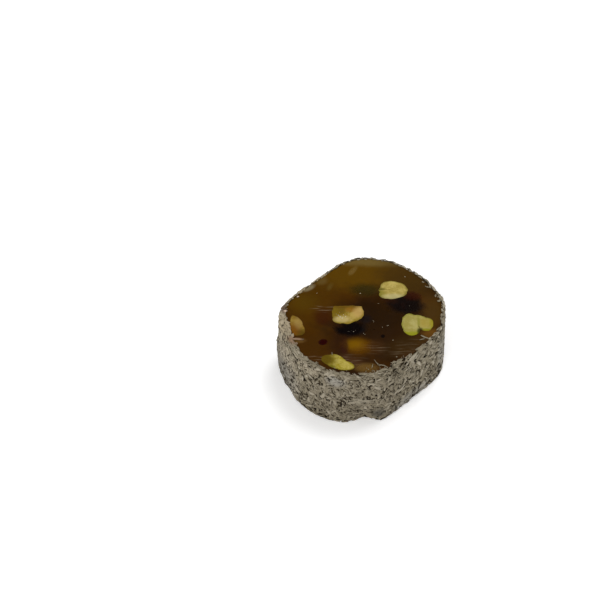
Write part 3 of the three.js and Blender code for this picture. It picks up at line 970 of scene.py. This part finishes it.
# %% Lay shreds
GOLDEN = 360 * (math.sqrt(5) - 1) / 2
LOWEST = 0.03
COARSE = (322, 1, 32)  # like SWELLS: where the coat is loose and its shreds are larger
THINNED = 0.55  # the share of shreds missing where it is loosest
RIM_LEAST = 0.32
RIM_WAVES, RIM_STARTS = (17, 29, 46, 71), (0.4, 1.9, 3.1, 5)
# the last two: painted light that makes the back rim paler, and painted shade that darkens shreds
# near the foot
TONE, TONE_SPREAD, BACK_RIM_PAINTED_LIGHT, FOOT_PAINTED_SHADE = 0.47, 0.2, 0.3, 0.16


def lay(name, places, along, across, out, sizes, tones, seed):
    """One mesh of shreds: each at its place, lying along its own directions."""
    draw = np.random.default_rng(seed)
    kinds = draw.integers(SHRED_KINDS, size=len(places))
    flips = draw.choice([-1, 1], size=len(places))
    all_points, all_faces, all_tones, used = [], [], [], 0
    for kind, (shape, low, faces) in enumerate(shred_kinds):
        mine = np.flatnonzero(kinds == kind)
        spread = shape[None] * sizes[mine][:, None]
        spread[:, :, 1] *= flips[mine][:, None]
        frames = np.stack([along[mine], across[mine], out[mine]], 1)
        placed = places[mine][:, None] + spread @ frames
        starts = used + len(shape) * np.arange(len(mine))
        all_faces.append((np.array(faces)[None] + starts[:, None, None]).reshape(-1, 4))
        all_points.append(placed.reshape(-1, 3))
        all_tones.append((tones[mine][:, None] - SOAKED_AND_SHADED * low[None]).ravel())
        used += len(shape) * len(mine)
    points = np.concatenate(all_points)
    points[:, 2] = np.maximum(points[:, 2], LOWEST)
    mesh = bpy.data.meshes.new(name)
    mesh.from_pydata(points.tolist(), [], np.concatenate(all_faces).tolist())
    shreds = bpy.data.objects.new(name, mesh)
    bpy.context.collection.objects.link(shreds)
    keep_on_points(shreds, "tone", np.concatenate(all_tones))
    print(f"{name}: {len(places)} flakes")
    return shreds


def unit(vectors):
    return vectors / np.linalg.norm(vectors, axis=1)[:, None]


def lie_on_bed(angle, climb, heading, tilt, roll):
    """Directions along, across and out of shreds that lie on the bed, tilted a little."""
    step = 0.05
    here = bed_surface(angle, climb)
    around = unit(bed_surface(angle + step, climb) - here)
    upward = unit(bed_surface(angle, climb + step) - here)
    out = unit(np.cross(around, upward))
    heading, tilt, roll = [np.radians(x)[:, None] for x in (heading, tilt, roll)]
    along = unit(around * np.cos(heading) + upward * np.sin(heading) + out * np.sin(tilt))
    across = unit(np.cross(out, along) + out * np.sin(roll))
    return here, along, across, unit(np.cross(along, across))


def fair_headings(climb, length, draw, least):
    """Any heading, but none so steep that an end stands out past the foot or the rim."""
    from_ends = np.minimum(climb - LOWEST, BED_SIDE + 0.4 - climb)
    steepest = np.degrees(np.arcsin(np.clip(2 * from_ends / length, 0, 1)))
    return draw.uniform(-1, 1, len(climb)) * np.maximum(least, steepest)


def rim_overhang(angle):
    """How far shreds may lie over onto the cut: least at the back, and uneven in front."""
    loose = smooth_step(-np.sin(np.radians(angle - 8)), -0.2, 0.3)
    turned = np.radians(angle)[:, None] * RIM_WAVES
    uneven = np.sin(turned + RIM_STARTS).sum(1)
    return RIM_LEAST + loose * (0.05 + 0.2 * uneven)


def coat_shreds(name, count, lengths, widths, depths, lifts, seed):
    draw = np.random.default_rng(seed)
    angle = GOLDEN * np.arange(count) % 360 + draw.uniform(-1, 1, count)
    climb = draw.permutation(np.linspace(0.15, BED_SIDE + BED_BEND + 2.2, count))
    large = draw.uniform(size=count) ** 1.4
    coarse = swell(angle, *COARSE)
    length = (lengths[0] + (lengths[1] - lengths[0]) * large) * (1 + 0.4 * coarse)
    width = draw.uniform(*widths, count) * (0.7 + 0.6 * large) * (1 + 0.3 * coarse)
    headings = fair_headings(climb, length, draw, 25)
    steep = np.abs(np.sin(np.radians(headings)))
    inward = climb + 0.4 * (length * steep + width * (1 - steep))
    kept = inward < bed_reach(angle) + rim_overhang(angle)
    kept &= draw.uniform(size=count) > THINNED * coarse
    angle, climb, headings, length, width, coarse = [
        row[kept] for row in (angle, climb, headings, length, width, coarse)
    ]
    count = len(angle)
    tilt, roll = draw.normal(0, 4, count), draw.normal(0, 12, count)
    here, along, across, out = lie_on_bed(angle, climb, headings, tilt, roll)
    sizes = np.stack([length, width, draw.uniform(*depths, count)], 1)
    lift = draw.uniform(*lifts, count)
    # shreds lying lower in the mat are painted darker and higher ones paler: painted shade in its
    # hollows
    tones = draw.normal(TONE, TONE_SPREAD, count) + 1.4 * (lift - np.mean(lifts)) + 0.1 * coarse
    lift += draw.uniform(-0.3, 0.6, count) * 0.3 * coarse
    # painted shade: shreds near the foot are darker
    tones += 0.12 * waves(here, 2.2, seed) - FOOT_PAINTED_SHADE * (1 - smooth_step(climb, 0, 9))
    # painted light: shreds on the back of the rim are paler
    tones += BACK_RIM_PAINTED_LIGHT * (climb > BED_SIDE) * (np.sin(np.radians(angle)) > 0)
    return lay(name, here + out * lift[:, None], along, across, out, sizes, tones, seed)


# name, how many, lengths, widths, depths, how far off the bed, seed
shreds = coat_shreds("coconut_shreds", 7400, (0.9, 2.6), (0.4, 0.95), (0.12, 0.26), (0, 0.26), 81)
crushed = coat_shreds("crushed_coconut", 6000, (0.4, 1.1), (0.25, 0.5), (0.1, 0.22), (-0.05, 0.2), 85)

# %% [markdown]
# In a few places wet coconut was pressed flat, and dried as smooth flakes.

# %% Lay matted flakes
# (direction, climb), heading, (length, width)
MATTED = (
    ((265.5, 8.8), 4, (4.6, 1.7)), ((271.5, 9.2), -6, (4.2, 1.5)), ((268, 7.6), 0, (3.8, 1.2)),
    ((250, 15.6), 40, (2.8, 1.7)), ((252.6, 14.6), 65, (3, 1.8)), ((281, 4.4), 50, (3, 1.5)),
    ((275.5, 1.9), 10, (3.2, 1.4)), ((285, 2.2), 75, (2.4, 1.3)),
)
MATTED_DEPTH, MATTED_LIFT, MATTED_TONE = 0.12, 0.26, 0.5

places, headings, sizes = [np.array(column) for column in zip(*MATTED)]
level = np.zeros(len(MATTED))
here, along, across, out = lie_on_bed(*places.T, headings, level, level)
sizes = np.column_stack([sizes, level + MATTED_DEPTH])
here += MATTED_LIFT * out
matted = lay("matted_coconut", here, along, across, out, sizes, level + MATTED_TONE, 87)

# %% [markdown]
# From the left round the front to the right the coat is loose at the rim: thin strands of it
# lie over onto the cut face.

# %% Lay strands over the rim
STRANDS = 330
LOOSE_RIM = (165, 385)

draw = np.random.default_rng(82)
angle = draw.uniform(*LOOSE_RIM, STRANDS)
climb = bed_reach(angle) + rim_overhang(angle) - draw.uniform(0.2, 1.3, STRANDS)
headings = draw.normal(0, 28, STRANDS)
tilt, roll = draw.normal(0, 4, STRANDS), draw.normal(0, 15, STRANDS)
here, along, across, out = lie_on_bed(angle, climb, headings, tilt, roll)
spans = ((0.7, 1.8), (0.25, 0.65), (0.1, 0.2))
sizes = np.stack([draw.uniform(*span, STRANDS) for span in spans], 1)
here += out * draw.uniform(0.02, 0.2, STRANDS)[:, None]
strands = lay("rim_strands", here, along, across, out, sizes, draw.uniform(0.3, 0.9, STRANDS), 82)

# %% [markdown]
# The knife carried a few shreds onto the cut, and some flakes of coconut lie just under it.

# %% Lay shreds on and under the cut face
# (x, y, z under the cut), heading, (length, width, depth)
ON_CUT = (
    ((3.7, -17.4, -0.12), 118, (2.6, 0.16, 0.1)), ((4.3, -18, -0.1), 135, (2.2, 0.14, 0.1)),
    ((2.7, -18.8, -0.12), 80, (1.6, 0.24, 0.12)), ((5.6, -18.6, -0.12), 160, (1.8, 0.3, 0.12)),
    ((17, -7.8, -0.12), 150, (2.6, 0.5, 0.14)), ((16.2, -8.6, -0.1), 20, (1.6, 0.4, 0.12)),
    ((18.3, 11.9, -0.12), -25, (1.9, 0.4, 0.12)), ((16.9, 14, -0.1), -50, (0.8, 0.4, 0.1)),
    ((20.3, 8.6, -0.12), 60, (0.9, 0.5, 0.14)), ((21.3, 6.4, -0.15), 20, (1.2, 0.8, 0.2)),
    ((-21.2, 2.4, -0.1), 20, (1, 0.8, 0.25)), ((-17.9, 8.1, -0.1), 40, (0.6, 0.5, 0.2)),
    ((-17.8, -8.5, -0.08), 176, (3.8, 0.9, 0.14)),
    ((-8.2, -14.2, -0.15), 95, (1.2, 0.2, 0.12)),
)
UNDER_CUT = (
    ((-2.7, 18.9, 0.25), 62, (4.2, 2.2, 0.2)), ((-11.4, 14.8, 0.25), 50, (3.8, 3, 0.2)),
    ((-14.6, 11.7, 0.2), 38, (2.4, 1.4, 0.2)), ((-9, 12.4, 0.25), 70, (3, 1.6, 0.2)),
)


def strewn(count, seed):
    """More rows like these: small flakes that fell from the rim onto the front of the cut."""
    draw = np.random.default_rng(seed)
    angle = draw.normal(277, 17, count)
    inward = 0.2 + draw.exponential(0.7, count)
    radius = wall_radius(angle, SLICE_HEIGHT) - coat_thickness(angle) - inward
    places = from_polar(angle, radius, np.full(count, -0.06))
    sizes = draw.uniform((0.2, 0.15, 0.06), (0.5, 0.3, 0.14), (count, 3))
    return [(place, draw.uniform(0, 180), size) for place, size in zip(places, sizes)]


def lay_flat(name, rows, tones, seed):
    places = np.array([(x, y, SLICE_HEIGHT - deep) for (x, y, deep), _, _ in rows])
    headings = np.radians([heading for _, heading, _ in rows])
    flat = np.zeros(len(rows))
    along = np.stack([np.cos(headings), np.sin(headings), flat], 1)
    out = np.stack([flat, flat, flat + 1], 1)
    sizes = np.array([size for _, _, size in rows])
    return lay(name, places, along, np.cross(out, along), out, sizes, flat + tones, seed)


on_cut = lay_flat("shreds_on_cut", (*ON_CUT, *strewn(34, 86)), 0.45, 83)
under_cut = lay_flat("flakes_under_cut", UNDER_CUT, 0.5, 84)

# %% [markdown]
# ## What coconut looks like
#
# Dry coconut is a dull beige, and it is brown where it is soaked with syrup and where painted
# shade lies low in the mat. Each spot below gives the dry coconut in one place another colour:
# it is greyer low on the left and at the right, and warmer along the rim at the left. Some spots
# are painted light and shade: a painted shadow in the notch at the front of the foot, painted
# light on the left side, and painted shade across the front.

# %% Paint for the coconut
COAT_SPOTS = (
    # (x, y, z), (radii), colour, strength
    ((-7, -21.5, 16), (2.6, 2, 1.6), (172, 172, 168), 0.5),
    ((-1, -22.8, 9.1), (4.5, 2, 1.3), (166, 158, 140), 0.6),
    # painted shadow: dark grey in the notch at the front of the foot
    ((4.4, -22, 3), (2, 3, 1.8), (44, 47, 49), 0.9),
    ((-22, -8, 5), (4, 8, 7), (136, 133, 128), 0.6),
    # painted light: the left side paler
    ((-19.5, -13, 6), (3, 4, 4), (172, 164, 148), 0.5),
    ((-15, -17.5, 17), (5, 4, 1.5), (176, 164, 142), 0.5),
    ((-21, -3, 18.5), (4, 5, 2), (178, 163, 136), 0.8),
    ((-17.5, -9, 19.2), (3.4, 1.6, 0.6), (142, 114, 90), 0.9),
    ((-16, 12, 19), (8, 9, 0.8), (170, 155, 126), 0.8),
    ((-21.7, 3.4, 19.2), (0.9, 1.9, 0.9), (88, 66, 52), 0.8),
    ((-21.2, 2.3, 19.2), (0.45, 0.45, 0.5), (198, 176, 156), 1),
    ((-17.9, 8.1, 19.2), (0.6, 0.5, 0.5), (206, 184, 160), 1),
    # painted light: the left side paler, higher up
    ((-22, -8, 13), (5, 7, 4.5), (176, 165, 144), 0.6),
    # painted shade: the front side darker
    ((-6, -23, 8), (18, 8, 12), (118, 109, 93), 0.4),
    ((22.8, -6, 8), (1.8, 6, 8), (163, 159, 148), 0.75),
    ((15, -14, 1.6), (7, 7, 2.4), (152, 148, 139), 0.7),
)
paint = Paint("coconut", Roughness=0.75, Specular_IOR_Level=0.06)
tone = paint.stored("tone") + (paint.noise(0.7) - 0.5) * 0.5
dry_and_lit = paint.ease(tone, 0.0, 0.45)
# dark brown where a shred is soaked with syrup and where painted shade lies low in the mat
colour = paint.mix(srgb(38, 29, 14), srgb(133, 124, 104), dry_and_lit)
colour = paint.mix(colour, srgb(173, 164, 145), paint.ease(tone, 0.5, 1.1))
for place, radii, tint, strength in COAT_SPOTS:
    here = paint.spot(place, radii, 0, 0.6, 0.5)
    colour = paint.mix(colour, srgb(*tint), here * strength * dry_and_lit)
paint.feed("Base Color", colour)
paint.bump(paint.noise(0.25, 2.0), 0.4, 0.05)
for piece in (shreds, crushed, matted, strands, on_cut):
    finish_piece(piece, piece.name, paint.material, ["coconut_coat"])

paint = Paint("soaked_coconut", Roughness=0.5)
soaked = paint.mottled(srgb(132, 98, 40), srgb(168, 136, 76), 0.8, 0.3, 0.7)
paint.feed("Base Color", soaked)
finish_piece(under_cut, under_cut.name, paint.material, [])
